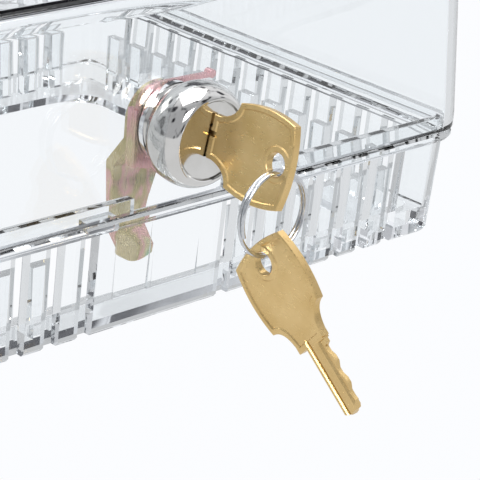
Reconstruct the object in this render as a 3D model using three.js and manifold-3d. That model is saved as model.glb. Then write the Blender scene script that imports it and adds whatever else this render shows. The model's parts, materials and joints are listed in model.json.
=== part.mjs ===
// A clear, lockable guard box: a vented ring base, a lift-up cover held shut by a cam lock,
// and two keys on a split ring. One key is in the lock, the other hangs from the ring.
//
// Millimetres, +Z up, z = 0 on the surface that the box stands on.
// x = 0 is the middle of the box. The lock is in the front wall, which faces -Y.

import * as THREE from 'three';
import { mergeVertices } from 'three/addons/utils/BufferGeometryUtils.js';
import Module from 'manifold-3d';

const wasm = await Module();
wasm.setup();

// ---------------------------------------------------------------------------------------
// Driving dimensions
// ---------------------------------------------------------------------------------------

const gap = 0.3;                   // clearance between pieces that touch

const boxWidth = 198;              // outside of the cover, along X
const boxDepth = 150;              // outside of the cover, along Y
const boxHeight = 78.4;            // outside of the cover's top
const cornerRadius = 8;            // outside of the cover's upright corners
const frontY = -44.915;            // the cover's front face

const coverWall = 2.5;
const coverDraft = 2.4;            // how far the cover's walls lean in, from bottom to top
const coverEdgeRadius = 5;         // round edge around the cover's top
const coverStraightZ = 33;         // the cover's walls are upright below this height

const lipBottomZ = 25.8;           // ring base: the lip that the cover stands on
const lipTopZ = 28.6;
const rimTopZ = 31.85;             // ring base: the rim inside the cover
const rimInset = 3.1;              // rim's outer face, measured in from the cover's outside
const rimThickness = 2.3;
const ledgeInset = 6.75;           // inner edge of the ledge under the rim
const wallTopInset = 2.4;          // vented wall's outer face under the lip
const wallBottomInset = 3.8;       // the same face at the bottom
const wallThickness = 2.8;
const railTopZ = 6.9;              // bottom rail behind the feet of the wall's bars
const railInnerInset = 9.3;
const flangeInset = 17.5;          // inner edge of the floor flange
const flangeThickness = 2.2;
const flangeRadius = 11;

const barPitch = 9.45;             // wall bars, centre to centre
const slotWidth = 4.05;
const frontSlotsPerSide = 7;
const sideSlots = 12;
const windowHalfWidth = 18.85;     // middle of the front wall to the centre of its first slot
const fenceTopZ = 18.85;           // inner, staggered row of bars
const fenceThickness = 2.2;
const fenceWindowHalf = 22.5;      // the inner row stops this far each side of the lock

const lockZ = 47.6;                // lock axis above the bottom
const keyTilt = 11;                // plug and key, degrees about the lock axis
const camTilt = 7.5;               // cam's arm, degrees about the lock axis
const headFaceY = -10.95;          // lock places are measured from the cover's front face
const headFaceRadius = 9.5;
const headRadius = 11.9;
const headBackRadius = 9.9;
const barrelRadius = 9.4;
const barrelEndY = 6.8;
const barrelFlat = 8.3;            // half width across the barrel's two flats
const grooveRadius = 8.2;          // groove for the clip
const grooveStartY = 3.9;
const grooveEndY = 5.4;
const boreRadius = 7.6;
const faceDiscRadius = 8.7;
const faceDiscBackY = -9.75;
const plugFaceY = -10.4;
const plugRadius = 7.3;
const plugEndY = 7.0;
const tailHalf = 3.2;
const tailEndY = 9.7;
const keywayHalfWidth = 1.3;
const keywayHalfHeight = 3.6;
const keywayEndY = 6.4;

const waferCount = 5;
const waferPitch = 2.6;
const waferFirstY = -6.8;
const waferThickness = 0.9;
const waferRadius = 7.1;
const waferHalfWidth = 4.9;
const springHeight = 2.9;
const springWireRadius = 0.14;
const springCoilRadius = 0.42;

const camThickness = 2.4;
const camHubRadius = 8.4;
const camHubY = 7.3;
const camArmY = 12.6;
const camTipY = 8.0;

const keyThickness = 2.0;
const keyFarCorner = 34.1;         // places along the key, measured out from the box's front
const keyFarBulge = 1.3;
const keyShoulder = 17.7;
const keyNeck = 10.8;              // the stop that meets the plug's face
const keyHoleAt = 31.06;
const bowShift = -1.2;             // the bow's middle, across from the blade's
const bladeTip = -6.0;
const keyFarHalf = 9.2;            // half widths
const keyShoulderHalf = 9.4;
const keyNeckHalf = 4.9;
const bladeHalf = 3.2;
const keyHoleRadius = 2.6;
const bitHeights = [1.5, 2.4, 1.8, 2.7, 2.1];
const bitPitch = 2.6;

const ringRadius = 9.4;            // middle of the ring's wire
const ringWireRadius = 0.45;
const ringTurnPitch = 1.2;
const hangingHole = new THREE.Vector3(-1.7, frontY - 31.9, 27.3);   // the second key's hole
const hangingLean = 42.0;          // the second key's slope, degrees

const clearPlastic = { colour: 0xeef3f6, roughness: 0.05, metalness: 0.0 };
const chrome = { colour: 0xc9c9c6, roughness: 0.08, metalness: 1.0 };
const zinc = { colour: 0xb9a886, roughness: 0.3, metalness: 1.0 };
const brass = { colour: 0xc79a4b, roughness: 0.3, metalness: 1.0 };
const steel = { colour: 0xb5b9bd, roughness: 0.25, metalness: 1.0 };

// ---------------------------------------------------------------------------------------
// Solids: closed geometries joined and cut with each other
// ---------------------------------------------------------------------------------------

function weld(geometry) {
  const plain = new THREE.BufferGeometry();
  plain.setAttribute('position', geometry.getAttribute('position').clone());
  if (geometry.index) {
    plain.setIndex(geometry.index.clone());
  }
  return mergeVertices(plain, 1e-4);
}

function withoutSlivers(geometry) {
  const index = [];
  const old = geometry.index.array;
  for (let i = 0; i < old.length; i += 3) {
    const [a, b, c] = [old[i], old[i + 1], old[i + 2]];
    if (a !== b && b !== c && c !== a) {
      index.push(a, b, c);
    }
  }
  geometry.setIndex(index);
  return geometry;
}

function signedVolume(geometry) {
  const p = geometry.getAttribute('position');
  const index = geometry.index.array;
  const [a, b, c] = [new THREE.Vector3(), new THREE.Vector3(), new THREE.Vector3()];
  let sum = 0;
  for (let i = 0; i < index.length; i += 3) {
    a.fromBufferAttribute(p, index[i]);
    b.fromBufferAttribute(p, index[i + 1]);
    c.fromBufferAttribute(p, index[i + 2]);
    sum += a.dot(b.cross(c));
  }
  return sum / 6;
}

// Welds a geometry and turns its faces out.
function closed(geometry) {
  const welded = withoutSlivers(weld(geometry));
  if (signedVolume(welded) < 0) {
    const index = welded.index.array;
    for (let i = 0; i < index.length; i += 3) {
      [index[i + 1], index[i + 2]] = [index[i + 2], index[i + 1]];
    }
  }
  return welded;
}

function toSolid(geometry) {
  const welded = closed(geometry);
  const vertProperties = new Float32Array(welded.getAttribute('position').array);
  const triVerts = new Uint32Array(welded.index.array);
  return new wasm.Manifold(new wasm.Mesh({ numProp: 3, vertProperties, triVerts }));
}

function fromSolid(solid) {
  const mesh = solid.getMesh();
  const geometry = new THREE.BufferGeometry();
  geometry.setAttribute('position', new THREE.BufferAttribute(new Float32Array(mesh.vertProperties), 3));
  geometry.setIndex(new THREE.BufferAttribute(new Uint32Array(mesh.triVerts), 1));
  return geometry;
}

function join(...geometries) {
  return fromSolid(geometries.map(toSolid).reduce((sum, solid) => sum.add(solid)));
}

function cut(geometry, ...tools) {
  return fromSolid(tools.map(toSolid).reduce((rest, tool) => rest.subtract(tool), toSolid(geometry)));
}

function overlap(first, second) {
  return fromSolid(toSolid(first).intersect(toSolid(second)));
}

// ---------------------------------------------------------------------------------------
// Plain shapes
// ---------------------------------------------------------------------------------------

function block(x0, x1, y0, y1, z0, z1) {
  const geometry = new THREE.BoxGeometry(x1 - x0, y1 - y0, z1 - z0);
  geometry.translate((x0 + x1) / 2, (y0 + y1) / 2, (z0 + z1) / 2);
  return geometry;
}

// A turned piece around the Y axis. The profile is a list of [radius, y].
function turned(profile, segments = 32) {
  return closed(new THREE.LatheGeometry(profile.map(([r, y]) => new THREE.Vector2(r, y)), segments));
}

function disc(radius, y0, y1, segments = 32) {
  return turned([[0, y0], [radius, y0], [radius, y1], [0, y1]], segments);
}

// A flat plate: a shape drawn in x and z, between two y values.
function plate(shape, y0, y1, curveSegments = 8) {
  const geometry = new THREE.ExtrudeGeometry(shape, { depth: y1 - y0, bevelEnabled: false, curveSegments });
  geometry.rotateX(Math.PI / 2);
  geometry.translate(0, y1, 0);
  return closed(geometry);
}

// A bar: a shape drawn in y and z, between two x values.
function bar(points, x0, x1) {
  const shape = new THREE.Shape(points.map(([y, z]) => new THREE.Vector2(y, z)));
  const geometry = new THREE.ExtrudeGeometry(shape, { depth: x1 - x0, bevelEnabled: false });
  const turn = new THREE.Matrix4().makeBasis(
    new THREE.Vector3(0, 1, 0), new THREE.Vector3(0, 0, 1), new THREE.Vector3(1, 0, 0));
  geometry.applyMatrix4(turn);
  geometry.translate(x0, 0, 0);
  return closed(geometry);
}

// ---------------------------------------------------------------------------------------
// Rounded rectangles around the box's middle, stacked into a skin
// ---------------------------------------------------------------------------------------

const cornerSteps = 5;
const boxMiddleY = frontY + boxDepth / 2;

function outline(inset, z, radius) {
  const halfX = boxWidth / 2 - inset - radius;
  const halfY = boxDepth / 2 - inset - radius;
  const corners = [[halfX, -halfY], [halfX, halfY], [-halfX, halfY], [-halfX, -halfY]];
  const points = [];
  corners.forEach(([cx, cy], quarter) => {
    for (let i = 0; i <= cornerSteps; i += 1) {
      const angle = (quarter - 1 + i / cornerSteps) * Math.PI / 2;
      points.push([cx + radius * Math.cos(angle), boxMiddleY + cy + radius * Math.sin(angle), z]);
    }
  });
  return points;
}

// profile: a list of [inset, z, corner radius]. A loop closes on itself, otherwise both ends
// are closed with a flat cap.
function skin(profile, loop) {
  const rings = profile.map(([inset, z, radius]) => outline(inset, z, radius));
  const count = rings[0].length;
  const position = rings.flat(2);
  const index = [];
  const bands = loop ? rings.length : rings.length - 1;
  for (let band = 0; band < bands; band += 1) {
    const here = band * count;
    const next = ((band + 1) % rings.length) * count;
    for (let i = 0; i < count; i += 1) {
      const j = (i + 1) % count;
      index.push(here + i, here + j, next + j, here + i, next + j, next + i);
    }
  }
  if (!loop) {
    const last = (rings.length - 1) * count;
    for (let i = 1; i < count - 1; i += 1) {
      index.push(0, i + 1, i, last, last + i, last + i + 1);
    }
  }
  const geometry = new THREE.BufferGeometry();
  geometry.setAttribute('position', new THREE.Float32BufferAttribute(position, 3));
  geometry.setIndex(index);
  return closed(geometry);
}

// ---------------------------------------------------------------------------------------
// Cover
// ---------------------------------------------------------------------------------------

const coverBottomZ = lipTopZ + gap;
const tabHalfWidth = 8;
const tabPlaces = [-60, 60];

function coverProfile(offset) {
  const radius = cornerRadius - offset;
  const edge = coverEdgeRadius - offset;
  const topZ = boxHeight - offset;
  const inset = coverDraft + offset;
  const profile = [];
  const arcSteps = 4;
  for (let i = 0; i <= arcSteps; i += 1) {
    const angle = i / arcSteps * Math.PI / 2;
    const run = edge * (1 - Math.sin(angle));
    profile.push([inset + run, topZ - edge * (1 - Math.cos(angle)), radius - run]);
  }
  profile.push([offset, coverStraightZ, radius], [offset, coverBottomZ, radius]);
  return profile;
}

function cover() {
  const outside = coverProfile(0);
  const inside = coverProfile(coverWall).reverse();
  const shell = skin([...outside, ...inside], false);
  const backY = frontY + boxDepth;
  const tabs = tabPlaces.map((x) => block(
    x - tabHalfWidth, x + tabHalfWidth, backY - 2.2, backY - 0.4, lipBottomZ + 0.6, coverBottomZ + 4));
  const hole = disc(barrelRadius + gap, frontY - 1, frontY + 8);
  hole.translate(0, 0, lockZ);
  return cut(join(shell, ...tabs), hole);
}

// ---------------------------------------------------------------------------------------
// Ring base
// ---------------------------------------------------------------------------------------

// Turns a piece made for the front wall onto one of the four walls (0 front, 1 right, 2 back, 3 left).
function ontoWall(geometry, wall) {
  const half = wall % 2 === 0 ? boxDepth / 2 : boxWidth / 2;
  geometry.translate(0, -half, 0);
  geometry.rotateZ(wall * Math.PI / 2);
  geometry.translate(0, boxMiddleY, 0);
  return geometry;
}

function slotCentres(wall) {
  const centres = [];
  if (wall === 0) {
    for (let i = 0; i < frontSlotsPerSide; i += 1) {
      const place = windowHalfWidth + slotWidth / 2 + i * barPitch;
      centres.push(place, -place);
    }
    return centres;
  }
  const count = wall === 2 ? 2 * frontSlotsPerSide + 3 : sideSlots;
  for (let i = 0; i < count; i += 1) {
    centres.push((i - (count - 1) / 2) * barPitch);
  }
  return centres;
}

function ringBase() {
  const frame = skin([
    [0.2, lipBottomZ + 1.2, cornerRadius - 0.2],
    [0.2, lipTopZ - 0.6, cornerRadius - 0.2],
    [0.8, lipTopZ, cornerRadius - 0.8],
    [rimInset, lipTopZ, cornerRadius - rimInset],
    [rimInset, rimTopZ, cornerRadius - rimInset],
    [rimInset + rimThickness, rimTopZ, 2.6],
    [rimInset + rimThickness, lipTopZ - 0.2, 2.6],
    [ledgeInset, lipTopZ - 1, 1.6],
    [ledgeInset, lipBottomZ - 0.3, 1.6],
    [1.2, lipBottomZ, cornerRadius - 1.2],
  ], true);
  const innerTop = wallTopInset + wallThickness;
  const innerBottom = wallBottomInset + wallThickness;
  const wall = skin([
    [wallTopInset, lipBottomZ + 0.5, cornerRadius - wallTopInset],
    [wallBottomInset, 0.9, cornerRadius - wallBottomInset],
    [wallBottomInset + 0.8, 0, cornerRadius - wallBottomInset - 0.8],
    [innerBottom, 0, cornerRadius - innerBottom],
    [innerTop, lipBottomZ + 0.5, cornerRadius - innerTop],
  ], true);
  const rail = skin([
    [innerBottom - 0.4, 0, cornerRadius - innerBottom + 0.4],
    [innerBottom - 0.4, railTopZ, cornerRadius - innerBottom + 0.4],
    [railInnerInset, railTopZ, 3],
    [railInnerInset, flangeThickness, 3],
    [flangeInset, flangeThickness, flangeRadius],
    [flangeInset, 0, flangeRadius],
  ], true);

  const slots = [];
  const fence = [];
  for (let wallNumber = 0; wallNumber < 4; wallNumber += 1) {
    for (const centre of slotCentres(wallNumber)) {
      const slot = block(
        centre - slotWidth / 2, centre + slotWidth / 2, -1, innerBottom + 0.6, -1, lipBottomZ - 0.4);
      slots.push(ontoWall(slot, wallNumber));
      if (wallNumber !== 0 || Math.abs(centre) > fenceWindowHalf) {
        const post = block(
          centre - 2.7, centre + 2.7, railInnerInset - 0.5, railInnerInset + fenceThickness, 1, fenceTopZ);
        fence.push(ontoWall(post, wallNumber));
      }
    }
  }
  const vented = cut(wall, ...slots);

  // Room for the barrel and the clip in the rim, two thinner panes below the lock, slots for the
  // cover's tabs, and the lug that the cam turns under.
  const notch = block(-10, 18, frontY + 2.6, frontY + 9, 27.4, rimTopZ + 1);
  const thinPanes = [
    block(-12.6, -2.4, frontY + 5.3, frontY + 7, railTopZ + 0.4, lipBottomZ - 0.6),
    block(-1.2, 12.6, frontY + 5.7, frontY + 7, railTopZ + 0.4, lipBottomZ - 0.6),
  ];
  const backY = frontY + boxDepth;
  const tabNotches = tabPlaces.map((x) => block(
    x - tabHalfWidth - 0.5, x + tabHalfWidth + 0.5, backY - 5.6, backY + 1, lipBottomZ - 1, rimTopZ + 1));
  const catchLug = block(-21, -12.5, frontY + 6.2, frontY + 9.6, 25.2, 27.6);
  const shell = cut(join(frame, vented, rail, ...fence), notch, ...thinPanes, ...tabNotches);
  return join(shell, catchLug);
}

// ---------------------------------------------------------------------------------------
// Lock: places are measured from the cover's front face, on the lock's own axis
// ---------------------------------------------------------------------------------------

function lockHousing() {
  const dome = new THREE.CubicBezierCurve(
    new THREE.Vector2(headFaceRadius, headFaceY),
    new THREE.Vector2(headFaceRadius + 2.1, headFaceY + 0.7),
    new THREE.Vector2(headRadius + 1.4, headFaceY + 6.6),
    new THREE.Vector2(headBackRadius + 0.6, -1.3),
  );
  const outside = dome.getPoints(7).map((p) => [p.x, p.y]);
  const body = turned([
    ...outside,
    [headBackRadius, -gap],
    [barrelRadius, -gap],
    [barrelRadius, grooveStartY],
    [grooveRadius, grooveStartY],
    [grooveRadius, grooveEndY],
    [barrelRadius, grooveEndY],
    [barrelRadius, barrelEndY],
    [boreRadius, barrelEndY],
    [boreRadius, faceDiscBackY - gap + 0.35],
    [faceDiscRadius + gap, faceDiscBackY - gap + 0.35],
    [faceDiscRadius + gap, headFaceY + 0.25],
    [faceDiscRadius + gap + 0.25, headFaceY],
    [headFaceRadius, headFaceY],
  ], 32);
  const flats = [-1, 1].map((side) => {
    const tool = block(barrelFlat, 2 * barrelFlat, grooveStartY, barrelEndY + 1, -barrelRadius, barrelRadius);
    if (side < 0) {
      tool.rotateY(Math.PI);
    }
    return tool;
  });
  return cut(body, ...flats);
}

// A spring clip: a flat fork in the barrel's groove, with a bent tab on its closed side and a
// rolled end on its upper prong.
function lockClip() {
  const outer = 9.8;
  const left = 9.5;
  const inner = grooveRadius + 0.35;
  const tabBottom = -9.0;
  const tabTop = 4.4;
  const tabLength = 2.9;
  const tabThickness = 1.2;
  const rollRadius = 1.0;
  const start = grooveStartY + 0.25;
  const end = grooveEndY - 0.2;
  const shape = new THREE.Shape();
  shape.moveTo(-left, -7.5);
  shape.lineTo(-left, tabTop + 0.6);
  shape.quadraticCurveTo(-9.0, outer, -3.5, outer);
  shape.lineTo(6.0, outer - 0.1);
  shape.lineTo(11.6, outer - 0.2);
  shape.lineTo(11.6, outer - 1.4);
  shape.lineTo(6.0, inner);
  shape.lineTo(0, inner);
  shape.absarc(0, 0, inner, Math.PI / 2, -Math.PI / 2, false);
  shape.lineTo(6.0, -inner);
  shape.quadraticCurveTo(8.5, -inner - 0.2, 9.6, -inner - 1.2);
  shape.lineTo(8.6, -outer - 0.6);
  shape.quadraticCurveTo(6.0, -outer + 0.2, 3.0, -outer);
  shape.lineTo(0.6, -outer - 2.8);
  shape.lineTo(-0.8, -outer - 3.2);
  shape.lineTo(-4.6, -outer);
  shape.quadraticCurveTo(-8.8, -outer, -left, -7.5);
  const flat = plate(shape, start, end, 6);
  const tab = block(
    -left - 0.4, -left - 0.4 + tabThickness, start, start + tabLength, tabBottom, tabTop);
  const roll = disc(rollRadius, start, end + 0.9, 16);
  roll.translate(11.9, 0, outer - 0.7);
  return join(flat, tab, roll);
}

function lockPlug() {
  const body = turned([
    [0, plugFaceY],
    [faceDiscRadius, plugFaceY],
    [faceDiscRadius, faceDiscBackY],
    [plugRadius, faceDiscBackY],
    [plugRadius, plugEndY],
    [0, plugEndY],
  ], 32);
  const tail = block(-tailHalf, tailHalf, plugEndY - 0.5, tailEndY, -tailHalf, tailHalf);
  const keyway = block(
    -keywayHalfWidth, keywayHalfWidth, plugFaceY - 1, keywayEndY, -keywayHalfHeight, keywayHalfHeight);
  const screwHole = disc(1.9, plugEndY + 0.4, tailEndY + 1, 16);
  const waferSlots = waferPlaces().map((y) => block(
    -waferHalfWidth - gap, 6.5, y - waferThickness / 2 - gap, y + waferThickness / 2 + gap, -8, 8));
  return cut(join(body, tail), keyway, screwHole, ...waferSlots);
}

function waferPlaces() {
  const places = [];
  for (let i = 0; i < waferCount; i += 1) {
    places.push(waferFirstY + i * waferPitch);
  }
  return places;
}

// A wafer tumbler: a thin plate with the key's window and a side lug that sits on its spring.
function wafer(y) {
  const side = Math.acos(waferHalfWidth / waferRadius);
  const shape = new THREE.Shape();
  shape.absarc(0, 0, waferRadius, side, Math.PI - side, false);
  shape.absarc(0, 0, waferRadius, Math.PI + side, 2 * Math.PI - side, false);
  shape.lineTo(waferHalfWidth, 0.4);
  shape.lineTo(6.1, 0.4);
  shape.lineTo(6.1, 1.4);
  shape.lineTo(waferHalfWidth, 1.4);
  shape.closePath();
  const window = new THREE.Path();
  window.moveTo(-1.5, -3.8);
  window.lineTo(1.5, -3.8);
  window.lineTo(1.5, 3.8);
  window.lineTo(-1.5, 3.8);
  window.closePath();
  shape.holes.push(window);
  return plate(shape, y - waferThickness / 2, y + waferThickness / 2, 5);
}

class Helix extends THREE.Curve {
  constructor(radius, turns, pitch) {
    super();
    this.radius = radius;
    this.turns = turns;
    this.pitch = pitch;
  }

  getPoint(t, target = new THREE.Vector3()) {
    const angle = t * this.turns * 2 * Math.PI;
    const rise = (t - 0.5) * this.turns * this.pitch;
    return target.set(this.radius * Math.cos(angle), this.radius * Math.sin(angle), rise);
  }
}

// A round wire along a curve, closed at both ends.
function wire(curve, radius, sides, steps) {
  const section = new THREE.Shape();
  for (let i = 0; i < sides; i += 1) {
    const angle = i / sides * 2 * Math.PI;
    const point = [radius * Math.cos(angle), radius * Math.sin(angle)];
    if (i === 0) {
      section.moveTo(...point);
    } else {
      section.lineTo(...point);
    }
  }
  section.closePath();
  return closed(new THREE.ExtrudeGeometry(section, { steps, bevelEnabled: false, extrudePath: curve }));
}

function waferSpring(y) {
  const turns = 3;
  const pitch = (springHeight - 2 * springWireRadius) / turns;
  const spring = wire(new Helix(springCoilRadius, turns, pitch), springWireRadius, 4, turns * 5);
  spring.translate(5.62, y, 0.4 - gap - springHeight / 2);
  return spring;
}

function lockCam() {
  const shape = new THREE.Shape();
  shape.absarc(0, 0, camHubRadius, 0, Math.PI, false);
  shape.lineTo(-6.9, -13);
  shape.lineTo(-4.9, -23);
  shape.lineTo(-4.6, -32.2);
  shape.quadraticCurveTo(0, -35.6, 4.6, -32.2);
  shape.lineTo(4.9, -23);
  shape.lineTo(6.9, -13);
  shape.closePath();
  const front = plate(shape, camHubY - 2, camArmY + camThickness + 1, 10);
  const side = bar([
    [camHubY, 12],
    [camHubY, -5.6],
    [camArmY, -12.6],
    [camArmY, -26],
    [camTipY, -30],
    [camTipY, -40],
    [camTipY + camThickness, -40],
    [camTipY + camThickness, -30.9],
    [camArmY + camThickness, -26.9],
    [camArmY + camThickness, -11.7],
    [camHubY + camThickness, -4.9],
    [camHubY + camThickness, 12],
  ], -20, 20);
  const squareHole = block(
    -tailHalf - gap, tailHalf + gap, camHubY - 1, camHubY + camThickness + 1, -tailHalf - gap, tailHalf + gap);
  squareHole.rotateY(THREE.MathUtils.degToRad(keyTilt - camTilt));
  const cam = cut(overlap(front, side), squareHole);
  cam.rotateY(THREE.MathUtils.degToRad(camTilt - keyTilt));
  return cam;
}

function camWasher() {
  const start = tailEndY + gap;
  return turned([[2.2, start], [4.6, start], [4.6, start + 0.6], [2.2, start + 0.6], [2.2, start]], 20);
}

function camScrew() {
  const headStart = tailEndY + 2 * gap + 0.6;
  const headEnd = headStart + 2.2;
  const body = turned([
    [0, plugEndY + 0.7], [1.5, plugEndY + 0.7], [1.5, headStart],
    [3.7, headStart], [3.7, headEnd - 0.9], [2.6, headEnd], [0, headEnd],
  ], 20);
  const crossSlots = [
    block(-2.2, 2.2, headEnd - 1.1, headEnd + 1, -0.45, 0.45),
    block(-0.45, 0.45, headEnd - 1.1, headEnd + 1, -2.2, 2.2),
  ];
  return cut(body, ...crossSlots);
}

// ---------------------------------------------------------------------------------------
// Keys and ring
// ---------------------------------------------------------------------------------------

// The key lies in its own x (thickness), y (length, bow towards -y) and z (width).
function keySolid() {
  const edge = new THREE.Shape();
  const top = (half) => bowShift + half;
  const bottom = (half) => bowShift - half;
  const sideAt = (keyFarCorner + keyShoulder) / 2;
  const sideHalf = (keyFarHalf + keyShoulderHalf) / 2 + 2.4;
  edge.moveTo(keyFarCorner, top(keyFarHalf));
  edge.quadraticCurveTo(keyFarCorner + 2 * keyFarBulge, bowShift, keyFarCorner, bottom(keyFarHalf));
  edge.quadraticCurveTo(sideAt, bottom(sideHalf), keyShoulder, bottom(keyShoulderHalf));
  edge.quadraticCurveTo(keyShoulder - 0.4, bottom(keyNeckHalf + 0.9), keyNeck + 1.6, bottom(keyNeckHalf));
  edge.lineTo(keyNeck, bottom(keyNeckHalf));
  edge.lineTo(keyNeck, -bladeHalf);
  edge.lineTo(bladeTip + 0.8, -bladeHalf);
  edge.lineTo(bladeTip, -bladeHalf + 1.6);
  edge.lineTo(bladeTip + 0.4, 0.4);
  edge.lineTo(bladeTip + 2.2, 1.7);
  bitHeights.forEach((height, i) => {
    const start = bladeTip + 3.2 + i * bitPitch;
    edge.lineTo(start, height);
    edge.lineTo(start + bitPitch / 2, height);
  });
  edge.lineTo(keyNeck - 1.4, bladeHalf);
  edge.lineTo(keyNeck, bladeHalf);
  edge.lineTo(keyNeck, top(keyNeckHalf));
  edge.lineTo(keyNeck + 1.6, top(keyNeckHalf));
  edge.quadraticCurveTo(keyShoulder - 0.4, top(keyNeckHalf + 0.9), keyShoulder, top(keyShoulderHalf));
  edge.quadraticCurveTo(sideAt, top(sideHalf), keyFarCorner, top(keyFarHalf));
  const hole = new THREE.Path();
  hole.absarc(keyHoleAt, bowShift, keyHoleRadius, 0, 2 * Math.PI, false);
  edge.holes.push(hole);
  const geometry = new THREE.ExtrudeGeometry(
    edge, { depth: keyThickness, bevelEnabled: false, curveSegments: 7 });
  geometry.translate(0, 0, -keyThickness / 2);
  const lie = new THREE.Matrix4().makeBasis(
    new THREE.Vector3(0, -1, 0), new THREE.Vector3(0, 0, 1), new THREE.Vector3(-1, 0, 0));
  geometry.applyMatrix4(lie);
  const grooves = [
    block(0.5, 2, -keyNeck - 1, -bladeTip + 1, -1.3, 0.5),
    block(-2, -0.5, -keyNeck - 1, -bladeTip + 1, -2.4, -1.0),
  ];
  return cut(closed(geometry), ...grooves);
}

function splitRing() {
  const turns = 1.92;
  return wire(new Helix(ringRadius, turns, ringTurnPitch), ringWireRadius, 8, 44);
}

// ---------------------------------------------------------------------------------------
// Assembly
// ---------------------------------------------------------------------------------------

function named(name, geometry, look) {
  const material = new THREE.MeshStandardMaterial({
    color: look.colour, roughness: look.roughness, metalness: look.metalness,
  });
  const mesh = new THREE.Mesh(geometry, material);
  mesh.name = name;
  return mesh;
}

// Places a piece by the directions of its own x, y and z, and by its origin.
function pose(mesh, xAxis, yAxis, zAxis, origin) {
  const turn = new THREE.Matrix4().makeBasis(xAxis, yAxis, zAxis);
  mesh.quaternion.setFromRotationMatrix(turn);
  mesh.position.copy(origin);
  return mesh;
}

const group = new THREE.Group();
group.add(named('ring_base', ringBase(), clearPlastic));
group.add(named('cover', cover(), clearPlastic));

const lock = new THREE.Group();
lock.position.set(0, frontY, lockZ);
lock.add(named('lock_housing', lockHousing(), chrome));
lock.add(named('lock_clip', lockClip(), zinc));

const turning = new THREE.Group();
turning.rotation.y = THREE.MathUtils.degToRad(keyTilt);
turning.add(named('lock_plug', lockPlug(), chrome));
waferPlaces().forEach((y, i) => {
  turning.add(named(`wafer_${i + 1}`, wafer(y), brass));
  turning.add(named(`wafer_spring_${i + 1}`, waferSpring(y), steel));
});
turning.add(named('lock_cam', lockCam(), zinc));
turning.add(named('cam_washer', camWasher(), steel));
turning.add(named('cam_screw', camScrew(), steel));
const lockKey = named('key_1', keySolid(), brass);
lockKey.rotation.y = Math.PI;
turning.add(lockKey);
lock.add(turning);
group.add(lock);

// The ring's circle passes through both keys' holes, below the first and above the second.
const keyUpright = THREE.MathUtils.degToRad(keyTilt);
const lockHole = new THREE.Vector3(
  -bowShift * Math.sin(keyUpright), frontY - keyHoleAt, lockZ - bowShift * Math.cos(keyUpright));
const down = hangingHole.clone().sub(lockHole).normalize();
const ringMiddle = lockHole.clone().add(hangingHole).multiplyScalar(0.5);
const ringNormal = new THREE.Vector3(0, 1, 0).projectOnPlane(down).normalize();
const ringStart = new THREE.Vector3(-1, 0, -0.35).projectOnPlane(ringNormal).normalize();
const ringSide = ringNormal.clone().cross(ringStart);
group.add(pose(named('key_ring', splitRing(), steel), ringStart, ringSide, ringNormal, ringMiddle));

// The hanging key leans on its tip, with its bow up and towards the box.
const lean = THREE.MathUtils.degToRad(hangingLean);
const keyUp = new THREE.Vector3(-0.06, Math.cos(lean), Math.sin(lean)).normalize();
const keyWide = new THREE.Vector3(-0.0586, -Math.sin(lean), Math.cos(lean)).projectOnPlane(keyUp).normalize();
const keyBack = keyUp.clone().negate();
const keyFace = keyBack.clone().cross(keyWide);
const keyOrigin = hangingHole.clone().addScaledVector(keyUp, -keyHoleAt).addScaledVector(keyWide, -bowShift);
group.add(pose(named('key_2', keySolid(), brass), keyFace, keyBack, keyWide, keyOrigin));

export default group;
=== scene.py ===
"""Looks for a clear locking box: a vented ring base, a lift-up cover, a cam lock and two keys.

Places are in metres in the box's own frame: +Z up, the lock in the front wall, which faces -Y.
Sizes written in millimetres are turned into metres by MM.
"""

import json
import math

import bmesh
import bpy
from mathutils import Matrix, Vector
from mathutils.geometry import tessellate_polygon

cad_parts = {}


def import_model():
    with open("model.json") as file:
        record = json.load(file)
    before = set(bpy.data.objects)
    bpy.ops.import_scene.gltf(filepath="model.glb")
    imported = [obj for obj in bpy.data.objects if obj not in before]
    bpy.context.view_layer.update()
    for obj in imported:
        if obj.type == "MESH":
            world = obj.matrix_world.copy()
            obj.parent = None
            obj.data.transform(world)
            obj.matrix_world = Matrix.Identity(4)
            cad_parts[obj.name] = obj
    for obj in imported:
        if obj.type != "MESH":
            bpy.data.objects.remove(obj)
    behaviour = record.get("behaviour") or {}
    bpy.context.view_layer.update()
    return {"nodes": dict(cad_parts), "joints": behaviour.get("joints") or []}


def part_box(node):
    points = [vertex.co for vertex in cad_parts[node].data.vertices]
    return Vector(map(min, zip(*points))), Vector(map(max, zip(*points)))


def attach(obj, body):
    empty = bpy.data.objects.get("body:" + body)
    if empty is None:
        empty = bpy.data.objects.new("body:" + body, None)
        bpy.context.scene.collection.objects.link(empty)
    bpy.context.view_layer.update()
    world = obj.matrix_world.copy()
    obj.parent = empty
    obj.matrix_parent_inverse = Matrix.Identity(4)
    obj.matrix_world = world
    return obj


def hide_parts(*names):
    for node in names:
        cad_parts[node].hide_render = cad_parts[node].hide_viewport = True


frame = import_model()

MM = 0.001
NODES = frame["nodes"]
SCENE = bpy.context.scene

# ---------------------------------------------------------------------------------------
# Places taken from the frame
# ---------------------------------------------------------------------------------------

cover_low, cover_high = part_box("cover")
joints = {joint["name"]: joint for joint in frame["joints"]}
LOCK = Vector(joints["plug_turn"]["pos_m"])      # on the lock's axis, at the cover's front face
KEY_TILT = math.radians(11)                      # plug and first key, about the lock's axis


# ---------------------------------------------------------------------------------------
# Mesh helpers
# ---------------------------------------------------------------------------------------

def new_object(name, mesh, body, slot, *stands_for):
    """Links a piece, hides the CAD nodes it stands for, and lets it ride on its body."""
    piece = bpy.data.objects.new(name, mesh)
    SCENE.collection.objects.link(piece)
    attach(piece, body)
    if stands_for:
        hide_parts(*stands_for)
    return piece


def smooth(mesh, angle=30):
    mesh.shade_smooth()
    mesh.set_sharp_from_angle(angle=math.radians(angle))


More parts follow.
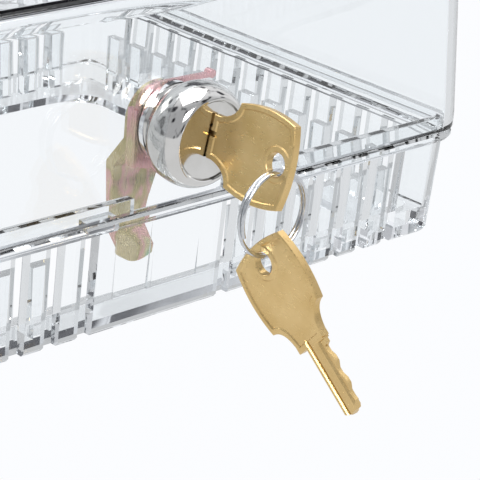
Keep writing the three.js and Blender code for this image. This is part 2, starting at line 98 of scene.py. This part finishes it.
def mesh_from(name, points, faces, angle=30):
    """A closed mesh with its faces turned out."""
    mesh = bpy.data.meshes.new(name)
    mesh.from_pydata([tuple(p) for p in points], [], faces)
    work = bmesh.new()
    work.from_mesh(mesh)
    bmesh.ops.remove_doubles(work, verts=work.verts, dist=1e-7)
    bmesh.ops.recalc_face_normals(work, faces=work.faces)
    work.to_mesh(mesh)
    work.free()
    smooth(mesh, angle)
    return mesh


def lathe(name, profile, segments=128, angle=30):
    """Turns a closed profile of (radius, y) around the Y axis."""
    points = []
    faces = []
    count = len(profile)
    for i in range(segments):
        turn = 2 * math.pi * i / segments
        for radius, y in profile:
            points.append((radius * math.cos(turn), y, radius * math.sin(turn)))
    for i in range(segments):
        j = (i + 1) % segments
        for k in range(count):
            m = (k + 1) % count
            faces.append((i * count + k, i * count + m, j * count + m, j * count + k))
    return mesh_from(name, points, faces, angle)


def arc(centre, radius, start, end, steps):
    """Points of an arc, angles in degrees."""
    points = []
    for i in range(steps + 1):
        turn = math.radians(start + (end - start) * i / steps)
        points.append((centre[0] + radius * math.cos(turn), centre[1] + radius * math.sin(turn)))
    return points


def bezier(a, b, c, steps):
    """Points of a quadratic curve, without its first point."""
    points = []
    for i in range(1, steps + 1):
        t = i / steps
        weights = ((1 - t) ** 2, 2 * t * (1 - t), t * t)
        points.append(tuple(sum(w * p[k] for w, p in zip(weights, (a, b, c))) for k in (0, 1)))
    return points


def cubic(a, b, c, d, steps):
    """Points of a cubic curve, both ends included."""
    points = []
    for i in range(steps + 1):
        t = i / steps
        weights = ((1 - t) ** 3, 3 * t * (1 - t) ** 2, 3 * t * t * (1 - t), t ** 3)
        points.append(tuple(sum(w * p[k] for w, p in zip(weights, (a, b, c, d))) for k in (0, 1)))
    return points


def prism(name, outline, low, high):
    """A flat outline of (u, v) between two thicknesses t, as points (t, -u, v)."""
    count = len(outline)
    points = [(t, -u, v) for t in (low, high) for u, v in outline]
    faces = [(i, (i + 1) % count, (i + 1) % count + count, i + count) for i in range(count)]
    faces += [tuple(range(count)), tuple(range(count, 2 * count))]
    return mesh_from(name, points, faces)


def combine(mesh, operation, *others):
    """Joins meshes to, or cuts them from, a closed mesh."""
    base = bpy.data.objects.new("work", mesh)
    SCENE.collection.objects.link(base)
    tools = []
    for other in others:
        tool = bpy.data.objects.new("tool", other)
        SCENE.collection.objects.link(tool)
        tools.append(tool)
        change = base.modifiers.new("change", "BOOLEAN")
        change.operation = operation
        change.solver = "EXACT"
        change.object = tool
    result = bpy.data.meshes.new_from_object(base.evaluated_get(bpy.context.evaluated_depsgraph_get()))
    result.name = mesh.name
    for item in (base, *tools):
        bpy.data.objects.remove(item)
    smooth(result)
    return result


def in_metres(mesh, matrix=Matrix.Identity(4)):
    """Places a mesh that was drawn in millimetres."""
    mesh.transform(matrix @ Matrix.Scale(MM, 4))
    return mesh


def keep_flat(piece):
    """Large flat faces keep their own direction next to rounded edges."""
    weighted = piece.modifiers.new("weighted", "WEIGHTED_NORMAL")
    weighted.keep_sharp = True
    weighted.weight = 100


# ---------------------------------------------------------------------------------------
# Node materials
# ---------------------------------------------------------------------------------------

class Nodes:
    """A short way to write a node tree."""

    def __init__(self, name):
        self.material = bpy.data.materials.new(name)
        self.material.use_nodes = True
        self.tree = self.material.node_tree
        self.shader = self.tree.nodes["Principled BSDF"]

    def add(self, kind, **values):
        node = self.tree.nodes.new(kind)
        for key, value in values.items():
            if key in node.inputs:
                node.inputs[key].default_value = value
            else:
                setattr(node, key, value)
        return node

    def link(self, source, target):
        self.tree.links.new(source, target)

    def set(self, **values):
        for key, value in values.items():
            self.shader.inputs[key.replace("_", " ")].default_value = value

    def place(self, scale=(1, 1, 1)):
        """The surface's own coordinates, stretched."""
        coordinates = self.add("ShaderNodeTexCoord")
        mapping = self.add("ShaderNodeMapping")
        mapping.inputs["Scale"].default_value = scale
        self.link(coordinates.outputs["Object"], mapping.inputs["Vector"])
        return mapping.outputs["Vector"]

    def noise(self, scale, detail=4.0, stretch=(1, 1, 1), roughness=0.5):
        noise = self.add("ShaderNodeTexNoise", Scale=scale, Detail=detail, Roughness=roughness)
        self.link(self.place(stretch), noise.inputs["Vector"])
        return noise.outputs["Fac"]

    def ramp(self, factor, *stops):
        """stops: (position, colour) from low to high."""
        ramp = self.add("ShaderNodeValToRGB")
        elements = ramp.color_ramp.elements
        while len(elements) < len(stops):
            elements.new(0.5)
        for element, (position, colour) in zip(elements, stops):
            element.position = position
            element.color = (*colour, 1)
        self.link(factor, ramp.inputs["Fac"])
        return ramp.outputs["Color"]

    def spread(self, factor, low, high, start=0.3, end=0.7):
        """Maps a noise value onto a range."""
        spread = self.add("ShaderNodeMapRange")
        for name, value in (("From Min", start), ("From Max", end), ("To Min", low), ("To Max", high)):
            spread.inputs[name].default_value = value
        self.link(factor, spread.inputs["Value"])
        return spread.outputs["Result"]

    def bump(self, height, strength, distance):
        bump = self.add("ShaderNodeBump", Strength=strength, Distance=distance)
        self.link(height, bump.inputs["Height"])
        self.link(bump.outputs["Normal"], self.shader.inputs["Normal"])


def clear_plastic():
    """Moulded clear plastic: slightly wavy, with faint flow lines and handling marks."""
    nodes = Nodes("clear_plastic")
    nodes.set(Base_Color=(0.955, 0.972, 0.98, 1), IOR=1.5, Transmission_Weight=1.0)
    marks = nodes.noise(260, 6, (1, 1, 0.25))
    nodes.link(nodes.spread(marks, 0.0, 0.05, 0.45, 0.75), nodes.shader.inputs["Roughness"])
    flow = nodes.noise(34, 2, (1, 1, 0.5))
    nodes.bump(flow, 0.12, 0.0012)
    return nodes.material


def chrome():
    """Bright plating with fine wiping marks."""
    nodes = Nodes("chrome")
    nodes.set(Metallic=1.0)
    wipe = nodes.noise(900, 5, (1, 0.08, 1))
    cloud = nodes.noise(120, 3)
    nodes.link(nodes.ramp(cloud, (0.3, (0.66, 0.65, 0.62)), (0.7, (0.78, 0.77, 0.75))),
               nodes.shader.inputs["Base Color"])
    nodes.link(nodes.spread(wipe, 0.05, 0.13), nodes.shader.inputs["Roughness"])
    nodes.bump(wipe, 0.05, 0.0001)
    return nodes.material


def zinc(name, *films):
    """Yellow-passivated zinc: gold and olive, with coloured films."""
    nodes = Nodes(name)
    nodes.set(Metallic=1.0)
    film = nodes.noise(95, 3, (1, 1, 0.55), 0.6)
    nodes.link(nodes.ramp(film, *films), nodes.shader.inputs["Base Color"])
    grain = nodes.noise(1500, 5, (1, 1, 0.1))
    nodes.link(nodes.spread(grain, 0.20, 0.36), nodes.shader.inputs["Roughness"])
    nodes.bump(grain, 0.12, 0.0001)
    return nodes.material


def brass(name, low, high, roughness):
    """Stamped or milled brass: a fine grain and slow colour changes."""
    nodes = Nodes(name)
    nodes.set(Metallic=1.0)
    tarnish = nodes.noise(160, 4)
    nodes.link(nodes.ramp(tarnish, (0.3, low), (0.7, high)), nodes.shader.inputs["Base Color"])
    grain = nodes.noise(2200, 4, (1, 0.25, 1))
    nodes.link(nodes.spread(grain, roughness - 0.05, roughness + 0.08), nodes.shader.inputs["Roughness"])
    nodes.bump(grain, 0.10, 0.0001)
    return nodes.material


def steel():
    """Bright drawn wire and turned steel."""
    nodes = Nodes("steel")
    nodes.set(Metallic=1.0)
    draw = nodes.noise(1800, 4)
    nodes.link(nodes.ramp(draw, (0.3, (0.60, 0.62, 0.64)), (0.7, (0.76, 0.77, 0.79))),
               nodes.shader.inputs["Base Color"])
    nodes.link(nodes.spread(draw, 0.12, 0.24), nodes.shader.inputs["Roughness"])
    nodes.bump(draw, 0.05, 0.0001)
    return nodes.material


CLEAR = clear_plastic()
CHROME = chrome()
OLIVE = (0.50, 0.43, 0.22)
GOLD = (0.68, 0.58, 0.36)
ROSE = (0.74, 0.44, 0.42)
PINK = (0.84, 0.50, 0.52)
GREEN = (0.34, 0.56, 0.40)
ZINC_CAM = zinc(
    "zinc_cam",
    (0.30, OLIVE), (0.42, GOLD), (0.48, OLIVE), (0.54, ROSE), (0.60, GOLD), (0.68, GREEN), (0.80, GOLD),
)
ZINC_CLIP = zinc("zinc_clip", (0.30, GOLD), (0.42, ROSE), (0.50, PINK), (0.60, ROSE), (0.72, GOLD))
BRASS = brass("brass", (0.72, 0.50, 0.21), (0.84, 0.61, 0.29), 0.30)
MILLED = brass("milled_brass", (0.80, 0.54, 0.13), (0.92, 0.66, 0.20), 0.18)
STEEL = steel()


# ---------------------------------------------------------------------------------------
# CAD nodes that stay: a welded, smoothed surface and a node material
# ---------------------------------------------------------------------------------------

def dress(node, material, bevel=0.0):
    """Gives a CAD node its material, and rounds its sharp edges a little."""
    piece = NODES[node]
    piece.data.materials.clear()
    piece.data.materials.append(material)
    weld = piece.modifiers.new("weld", "WELD")
    weld.merge_threshold = 1e-6
    if bevel:
        rounding = piece.modifiers.new("rounding", "BEVEL")
        rounding.width = bevel * MM
        rounding.segments = 2
        rounding.limit_method = "ANGLE"
        rounding.angle_limit = math.radians(35)
        rounding.use_clamp_overlap = True
    piece.data.shade_smooth()
    split = piece.modifiers.new("sharp_edges", "EDGE_SPLIT")
    split.split_angle = math.radians(30)
    keep_flat(piece)


dress("ring_base", CLEAR)
NODES["ring_base"].visible_shadow = False
dress("lock_plug", CHROME)
dress("lock_clip", ZINC_CLIP, 0.25)
dress("lock_cam", ZINC_CAM, 0.25)
for node in ("cam_washer", "cam_screw"):
    dress(node, STEEL)
for number in range(1, 6):
    dress(f"wafer_{number}", BRASS)
    dress(f"wafer_spring_{number}", STEEL)


# ---------------------------------------------------------------------------------------
# Cover: the CAD shape with finer round edges
# ---------------------------------------------------------------------------------------

COVER_WALL = 2.5
COVER_DRAFT = 2.4
COVER_CORNER = 8.0
COVER_EDGE = 5.0
COVER_STRAIGHT_Z = 33.0
COVER_BOTTOM_Z = 28.9


def cover_profile(offset, steps):
    """(inset, z, corner radius) from the top's flat face down to the bottom edge."""
    profile = []
    edge = COVER_EDGE - offset
    radius = COVER_CORNER - offset
    for i in range(steps + 1):
        turn = i / steps * math.pi / 2
        run = edge * (1 - math.sin(turn))
        z = cover_high.z / MM - offset - edge * (1 - math.cos(turn))
        profile.append((COVER_DRAFT + offset + run, z, radius - run))
    profile.append((offset, COVER_STRAIGHT_Z, radius))
    return profile


def cover():
    half_x = (cover_high.x - cover_low.x) / 2 / MM
    half_y = (cover_high.y - cover_low.y) / 2 / MM
    middle_y = (cover_high.y + cover_low.y) / 2 / MM
    corner_steps = 14
    lip = 0.5
    outside = cover_profile(0, 8) + [
        (0, COVER_BOTTOM_Z + lip, COVER_CORNER),
        (lip * 0.3, COVER_BOTTOM_Z + lip * 0.3, COVER_CORNER - lip * 0.3),
        (lip, COVER_BOTTOM_Z, COVER_CORNER - lip),
    ]
    inside = cover_profile(COVER_WALL, 6) + [
        (COVER_WALL, COVER_BOTTOM_Z + lip, COVER_CORNER - COVER_WALL),
        (COVER_WALL - lip, COVER_BOTTOM_Z, COVER_CORNER - COVER_WALL + lip),
    ]
    points = []
    profile = outside + inside[::-1]
    for inset, z, radius in profile:
        x = half_x - inset - radius
        y = half_y - inset - radius
        for quarter, (cx, cy) in enumerate(((x, -y), (x, y), (-x, y), (-x, -y))):
            start = (quarter - 1) * 90
            corner = arc((cx, cy), radius, start, start + 90, corner_steps)
            points += [(px, middle_y + py, z) for px, py in corner]
    count = 4 * (corner_steps + 1)
    faces = []
    for band in range(len(profile) - 1):
        here = band * count
        for i in range(count):
            j = (i + 1) % count
            faces.append((here + i, here + j, here + count + j, here + count + i))
    last = (len(profile) - 1) * count
    faces += [tuple(range(count)), tuple(range(last, last + count))]
    shell = mesh_from("clear_cover", points, faces)
    front = cover_low.y / MM
    lock_z = LOCK.z / MM
    hole = lathe("hole", [(0, -1), (9.7, -1), (9.7, 8), (0, 8)], 96)
    hole.transform(Matrix.Translation((0, front, lock_z)))
    mesh = combine(shell, "DIFFERENCE", hole)
    mesh.materials.append(CLEAR)
    piece = new_object("clear_cover", in_metres(mesh), "cover", "clear_plastic", "cover")
    piece.visible_shadow = False
    keep_flat(piece)


# ---------------------------------------------------------------------------------------
# Lock housing
# ---------------------------------------------------------------------------------------

FACE_Y = -10.95                                  # places along the lock's axis, from the cover's front
FACE_RADIUS = 9.5
BARREL_RADIUS = 9.4
BARREL_END = 6.8
BARREL_FLAT = 8.3                                # half width across the two flats
GROOVE_START = 3.9
GROOVE_END = 5.4
GROOVE_RADIUS = 8.2
BORE_RADIUS = 7.6
THREAD_ROOT = 8.95


def lock_housing():
    """The chrome head, its face rim, and the ribbed barrel with its groove and two flats."""
    dome = cubic((FACE_RADIUS, FACE_Y), (11.6, -10.25), (13.3, -4.35), (10.5, -1.3), 22)
    thread_pitch = 0.95
    barrel = [(9.9, -0.3), (9.3, -0.3)]
    y = -0.1
    while y < 3.2:
        barrel += [(THREAD_ROOT, y), (BARREL_RADIUS, y + thread_pitch / 2)]
        y += thread_pitch
    barrel += [
        (9.3, GROOVE_START), (GROOVE_RADIUS, GROOVE_START), (GROOVE_RADIUS, GROOVE_END), (9.0, GROOVE_END),
        (BARREL_RADIUS, 5.8), (THREAD_ROOT, 6.2), (BARREL_RADIUS, 6.6), (9.2, BARREL_END),
        (BORE_RADIUS, BARREL_END),
    ]
    bore = [(BORE_RADIUS, -9.7), (9.0, -9.7), (9.0, -10.6), (9.05, -10.82), (9.2, FACE_Y)]
    mesh = lathe("chrome_housing", dome + [(10.25, -0.7)] + barrel + bore, 160)
    flats = []
    for near, far in ((-16, -BARREL_FLAT), (BARREL_FLAT, 16)):
        corners = [(x, y, z) for x in (near, far) for y in (GROOVE_START, 8) for z in (-12, 12)]
        sides = [(0, 1, 3, 2), (4, 5, 7, 6), (0, 1, 5, 4), (2, 3, 7, 6), (0, 2, 6, 4), (1, 3, 7, 5)]
        flats.append(mesh_from("flat", corners, sides))
    mesh = combine(mesh, "DIFFERENCE", *flats)
    mesh.materials.append(CHROME)
    in_metres(mesh, Matrix.Translation(LOCK))
    piece = new_object("chrome_housing", mesh, "cover", "chrome", "lock_housing")
    keep_flat(piece)


# ---------------------------------------------------------------------------------------
# Keys. Places along a key (u) are measured out from the cover's front face, across it (v) from
# its middle, and through it (t) from its middle plane.
# ---------------------------------------------------------------------------------------

KEY_FAR = 34.1
KEY_FAR_HALF = 9.2
KEY_BULGE = 1.3
KEY_SHOULDER = 17.7
KEY_SHOULDER_HALF = 9.4
KEY_NECK = 10.8
KEY_NECK_HALF = 4.9
BOW_SHIFT = -1.2
KEY_HOLE = (31.06, BOW_SHIFT)
KEY_HOLE_RADIUS = 2.6
KEY_TIP = -6.0
BLADE_HALF = 3.2
KEY_HALF_THICKNESS = 1.0
BIT_HEIGHTS = (1.5, 2.4, 1.8, 2.7, 2.1)
BIT_PITCH = 2.6
BLADE_HALF_THICKNESS = 0.93
CLEAR_OF_KEY = 1.3                               # cutting tools start outside the key's faces


def inset_loop(points, distance):
    """Moves each corner of a closed outline in by a distance. The outline runs anticlockwise."""
    moved = []
    count = len(points)
    for i in range(count):
        before = Vector(points[i - 1])
        here = Vector(points[i])
        after = Vector(points[(i + 1) % count])
        first = (here - before).normalized()
        second = (after - here).normalized()
        inward = Vector((-first.y - second.y, first.x + second.x)).normalized()
        cosine = max(0.5, inward.dot(Vector((-first.y, first.x))))
        moved.append(tuple(here + inward * distance / cosine))
    return moved


def bow_outline(inset):
    """The bow down to its neck, anticlockwise."""
    side = ((KEY_FAR + KEY_SHOULDER) / 2, (KEY_FAR_HALF + KEY_SHOULDER_HALF) / 2 + 2.4)
    half = [
        (KEY_SHOULDER, KEY_SHOULDER_HALF),
        (KEY_SHOULDER - 0.4, KEY_NECK_HALF + 0.9),
        (KEY_NECK + 1.6, KEY_NECK_HALF),
        (KEY_NECK, KEY_NECK_HALF),
    ]
    corners = [(KEY_FAR, -KEY_FAR_HALF), (KEY_FAR + 2 * KEY_BULGE, 0), (KEY_FAR, KEY_FAR_HALF), side]
    corners += half
    corners += [(u, -v) for u, v in reversed(half)]
    corners += [(side[0], -side[1])]
    corners = [(u, v + BOW_SHIFT) for u, v in corners]
    a, b, c, d, e, f, g, h, i, j, k, m, n = inset_loop(corners, inset)
    points = [a] + bezier(a, b, c, 14) + bezier(c, d, e, 14) + bezier(e, f, g, 8) + [h, i, j]
    points += bezier(j, k, m, 8) + bezier(m, n, a, 14)[:-1]
    return points


def around_hole(points, radius):
    """Turns an outline in around the key's hole, where it would pass too close to it."""
    centre = Vector(KEY_HOLE)
    count = len(points)
    near = [(Vector(p) - centre).length < radius for p in points]
    start = next(i for i in range(count) if near[i - 1] and not near[i])
    order = [(start + i) % count for i in range(count)]
    kept = [points[i] for i in order if not near[i]]
    first = Vector(kept[-1]) - centre
    second = Vector(kept[0]) - centre
    leave = math.degrees(math.atan2(first.y, first.x))
    arrive = math.degrees(math.atan2(second.y, second.x))
    while arrive > leave:
        arrive -= 360
    return kept + arc(KEY_HOLE, radius, leave, arrive, 28)[1:-1]


def strip(faces, first, second, count):
    for i in range(count):
        j = (i + 1) % count
        faces.append((first + i, first + j, second + j, second + i))


def key_bow():
    """A stamped plate: a raised border that curls round the hole, and a sunk field."""
    edge = 0.18
    depth = 0.26
    thick = KEY_HALF_THICKNESS
    outer = bow_outline(0)
    outer_top = inset_loop(outer, edge)
    hole = arc(KEY_HOLE, KEY_HOLE_RADIUS, 0, 360, 40)[:-1]
    hole_top = arc(KEY_HOLE, KEY_HOLE_RADIUS + edge, 0, 360, 40)[:-1]
    field = around_hole(bow_outline(1.15), 3.75)
    field_floor = inset_loop(field, 0.3)
    points = []
    faces = []
    sides = {}
    for sign in (1, -1):
        levels = ((outer, thick - edge), (outer_top, thick), (hole, thick - edge), (hole_top, thick),
                  (field, thick), (field_floor, thick - depth))
        starts = []
        for loop, height in levels:
            starts.append(len(points))
            points += [(sign * height, -u, v) for u, v in loop]
        sides[sign] = starts
        strip(faces, starts[0], starts[1], len(outer))
        strip(faces, starts[2], starts[3], len(hole))
        strip(faces, starts[4], starts[5], len(field))
        flat = [[Vector((u, v, 0)) for u, v in loop] for loop in (outer_top, hole_top, field)]
        loop_starts = (starts[1], starts[3], starts[4])
        index = [s + i for s, loop in zip(loop_starts, flat) for i in range(len(loop))]
        faces += [tuple(index[i] for i in triangle) for triangle in tessellate_polygon(flat)]
        floor_loop = [[Vector((u, v, 0)) for u, v in field_floor]]
        faces += [tuple(starts[5] + i for i in triangle) for triangle in tessellate_polygon(floor_loop)]
    strip(faces, sides[1][0], sides[-1][0], len(outer))
    strip(faces, sides[1][2], sides[-1][2], len(hole))
    return mesh_from("bow", points, faces)


def bit_line():
    """The cut edge of the blade, from its tip to its stop."""
    line = [(KEY_TIP + 0.4, 0.4), (KEY_TIP + 2.2, 1.7)]
    for i, height in enumerate(BIT_HEIGHTS):
        start = KEY_TIP + 3.2 + i * BIT_PITCH
        line += [(start, height), (start + BIT_PITCH / 2, height)]
    return line + [(KEY_NECK - 1.4, BLADE_HALF)]


def key_mesh(name):
    """The bow, the blade, the milled grooves and the cut edge."""
    blade_end = KEY_NECK + 1.2
    blade_outline = [(blade_end, BLADE_HALF), (blade_end, -BLADE_HALF), (KEY_TIP + 0.8, -BLADE_HALF),
                     (KEY_TIP, -BLADE_HALF + 1.6)] + bit_line()
    blade = prism("blade", blade_outline, -BLADE_HALF_THICKNESS, BLADE_HALF_THICKNESS)
    run_out = KEY_NECK + 3.2
    low = KEY_TIP - 1
    cutters = []
    for sign, v0, v1 in ((1, -2.5, -1.3), (-1, -0.6, 0.5)):
        section = [
            (sign * 0.35, v0 + 0.3), (sign * 0.35, v1 - 0.1),
            (sign * CLEAR_OF_KEY, v1 + 0.15), (sign * CLEAR_OF_KEY, v0 - 0.15),
        ]
        points = [(t, -low, v) for t, v in section]
        points += [(t, -(run_out if abs(t) > 1 else run_out - 2.2), v) for t, v in section]
        faces = [(0, 1, 2, 3), (4, 5, 6, 7)]
        strip(faces, 0, 4, 4)
        groove = mesh_from("groove", points, faces)
        for face in groove.polygons:
            face.material_index = 1
        cutters.append(groove)
    for sign in (1, -1):
        section = [
            (sign * 0.52, 1.5), (sign * 0.52, BLADE_HALF + 1),
            (sign * CLEAR_OF_KEY, BLADE_HALF + 1), (sign * CLEAR_OF_KEY, 0.6),
        ]
        points = [(t, -low, v) for t, v in section] + [(t, -(KEY_NECK - 0.4), v) for t, v in section]
        faces = [(0, 1, 2, 3), (4, 5, 6, 7)]
        strip(faces, 0, 4, 4)
        land = mesh_from("land", points, faces)
        for face in land.polygons:
            face.material_index = 1
        cutters.append(land)
    mesh = combine(combine(key_bow(), "UNION", blade), "DIFFERENCE", *cutters)
    mesh.name = name
    mesh.materials.clear()
    mesh.materials.append(BRASS)
    mesh.materials.append(MILLED)
    return mesh


# The first key is in the lock. The second hangs from the ring and leans on its tip.
HANGING_HOLE = LOCK + Vector((-1.7, -31.9, -20.3)) * MM
HANGING_LEAN = math.radians(42.0)


def across(vector, direction):
    """The part of a vector that is square to a direction, at unit length."""
    return (vector - direction * vector.dot(direction)).normalized()


def turn_to(x_axis, y_axis, z_axis, origin):
    matrix = Matrix((x_axis, y_axis, z_axis)).transposed().to_4x4()
    matrix.translation = origin
    return matrix


def keys():
    first = Matrix.Translation(LOCK) @ Matrix.Rotation(KEY_TILT + math.pi, 4, "Y")
    up = Vector((-0.06, math.cos(HANGING_LEAN), math.sin(HANGING_LEAN))).normalized()
    wide = across(Vector((-0.0586, -math.sin(HANGING_LEAN), math.cos(HANGING_LEAN))), up)
    origin = HANGING_HOLE - up * KEY_HOLE[0] * MM - wide * BOW_SHIFT * MM
    second = turn_to((-up).cross(wide), -up, wide, origin)
    for name, node, place in (("brass_key_1", "key_1", first), ("brass_key_2", "key_2", second)):
        piece = new_object(name, in_metres(key_mesh(name), place), node, "brass", node)
        keep_flat(piece)


def key_ring():
    """A split ring: nearly two turns of round wire."""
    lock_hole = LOCK - Vector((
        BOW_SHIFT * math.sin(KEY_TILT), KEY_HOLE[0], BOW_SHIFT * math.cos(KEY_TILT))) * MM
    down = (HANGING_HOLE - lock_hole).normalized()
    middle = (lock_hole + HANGING_HOLE) / 2
    normal = across(Vector((0, 1, 0)), down)
    start = across(Vector((-1, 0, -0.35)), normal)
    side = normal.cross(start)
    turns = 1.92
    radius = 9.4
    pitch = 1.02
    wire = 0.45
    steps = 220
    curve = bpy.data.curves.new("steel_ring", "CURVE")
    curve.dimensions = "3D"
    spline = curve.splines.new("POLY")
    spline.points.add(steps)
    for i, point in enumerate(spline.points):
        t = i / steps
        angle = t * turns * 2 * math.pi
        place = Vector((radius * math.cos(angle), radius * math.sin(angle), (t - 0.5) * turns * pitch))
        point.co = (*place, 1)
    curve.bevel_depth = wire
    curve.bevel_resolution = 5
    curve.use_fill_caps = True
    work = bpy.data.objects.new("work", curve)
    SCENE.collection.objects.link(work)
    mesh = bpy.data.meshes.new_from_object(work.evaluated_get(bpy.context.evaluated_depsgraph_get()))
    bpy.data.objects.remove(work)
    mesh.name = "steel_ring"
    smooth(mesh, 50)
    mesh.materials.append(STEEL)
    in_metres(mesh, turn_to(start, side, normal, middle))
    new_object("steel_ring", mesh, "key_ring", "steel", "key_ring")


cover()
lock_housing()
keys()
key_ring()


# ---------------------------------------------------------------------------------------
# Camera, floor and light
# ---------------------------------------------------------------------------------------

def camera():
    """A long lens from the front left, looking down through the front wall."""
    azimuth = math.radians(44.83)
    elevation = math.radians(22.93)
    roll = math.radians(4.73)
    right = Vector((math.cos(azimuth), -math.sin(azimuth), 0))
    forward = Vector((
        math.sin(azimuth) * math.cos(elevation),
        math.cos(azimuth) * math.cos(elevation),
        -math.sin(elevation),
    ))
    up = right.cross(forward)
    tilted_right = right * math.cos(roll) + up * math.sin(roll)
    tilted_up = up * math.cos(roll) - right * math.sin(roll)
    data = bpy.data.cameras.new("camera")
    data.sensor_width = 36
    data.lens = 148.94
    item = bpy.data.objects.new("camera", data)
    SCENE.collection.objects.link(item)
    turn = Matrix((tilted_right, tilted_up, -forward)).transposed()
    item.matrix_world = turn.to_4x4()
    item.location = LOCK + Vector((-0.27787, -0.30132, 0.14751))
    SCENE.camera = item


def floor():
    """A plain pale floor. What is seen by reflection is a softer grey than what is seen directly."""
    mesh = bpy.data.meshes.new("floor")
    half = 6.0
    level = -0.0004
    corners = [(-half, -half, level), (half, -half, level), (half, half, level), (-half, half, level)]
    mesh.from_pydata(corners, [], [(0, 1, 2, 3)])
    item = bpy.data.objects.new("floor", mesh)
    SCENE.collection.objects.link(item)
    material = bpy.data.materials.new("floor")
    material.use_nodes = True
    tree = material.node_tree
    tree.nodes.clear()
    out = tree.nodes.new("ShaderNodeOutputMaterial")
    glow = tree.nodes.new("ShaderNodeEmission")
    path = tree.nodes.new("ShaderNodeLightPath")
    shade = tree.nodes.new("ShaderNodeMapRange")
    shade.inputs["From Min"].default_value = 0
    shade.inputs["From Max"].default_value = 2
    shade.inputs["To Min"].default_value = 1.0
    shade.inputs["To Max"].default_value = 0.55
    tree.links.new(path.outputs["Glossy Depth"], shade.inputs["Value"])
    tree.links.new(shade.outputs["Result"], glow.inputs["Strength"])
    glow.inputs["Color"].default_value = (0.97, 0.98, 1.0, 1)
    tree.links.new(glow.outputs["Emission"], out.inputs["Surface"])
    mesh.materials.append(material)


def world():
    """Soft studio surroundings: bright above, duller towards the camera's side, with dark flags."""
    surroundings = bpy.data.worlds.new("studio")
    SCENE.world = surroundings
    surroundings.use_nodes = True
    tree = surroundings.node_tree
    background = tree.nodes["Background"]
    coordinates = tree.nodes.new("ShaderNodeTexCoord")
    along = tree.nodes.new("ShaderNodeVectorMath")
    along.operation = "DOT_PRODUCT"
    along.inputs[1].default_value = (0.62, 0.62, 0.45)
    ramp = tree.nodes.new("ShaderNodeValToRGB")
    ramp.color_ramp.elements[0].position = 0.0
    ramp.color_ramp.elements[0].color = (0.46, 0.47, 0.49, 1)
    ramp.color_ramp.elements[1].position = 0.55
    ramp.color_ramp.elements[1].color = (0.95, 0.96, 1.0, 1)
    patches = tree.nodes.new("ShaderNodeTexNoise")
    patches.inputs["Scale"].default_value = 2.6
    patches.inputs["Detail"].default_value = 1.5
    shade = tree.nodes.new("ShaderNodeValToRGB")
    shade.color_ramp.elements[0].position = 0.39
    shade.color_ramp.elements[0].color = (0.05, 0.05, 0.06, 1)
    shade.color_ramp.elements[1].position = 0.45
    shade.color_ramp.elements[1].color = (1, 1, 1, 1)
    both = tree.nodes.new("ShaderNodeVectorMath")
    both.operation = "MULTIPLY"
    tree.links.new(coordinates.outputs["Generated"], along.inputs[0])
    tree.links.new(coordinates.outputs["Generated"], patches.inputs["Vector"])
    tree.links.new(along.outputs["Value"], ramp.inputs["Fac"])
    tree.links.new(patches.outputs["Fac"], shade.inputs["Fac"])
    tree.links.new(ramp.outputs["Color"], both.inputs[0])
    tree.links.new(shade.outputs["Color"], both.inputs[1])
    tree.links.new(both.outputs["Vector"], background.inputs["Color"])
    background.inputs["Strength"].default_value = 1.0


def softbox(name, place, target, size, power):
    data = bpy.data.lights.new(name, "AREA")
    data.shape = "RECTANGLE"
    data.size, data.size_y = size
    data.energy = power
    item = bpy.data.objects.new(name, data)
    SCENE.collection.objects.link(item)
    item.location = place
    item.rotation_euler = (Vector(target) - Vector(place)).to_track_quat("-Z", "Y").to_euler()
    item.visible_camera = False


camera()
floor()
world()
softbox("key_light", (-0.35, -0.9, 0.75), LOCK, (0.5, 0.35), 9)
softbox("top_light", (0.1, 0.1, 1.1), LOCK, (0.9, 0.9), 8)
SCENE.view_settings.view_transform = "Standard"
SCENE.cycles.max_bounces = 24
SCENE.cycles.transmission_bounces = 24
SCENE.cycles.glossy_bounces = 16
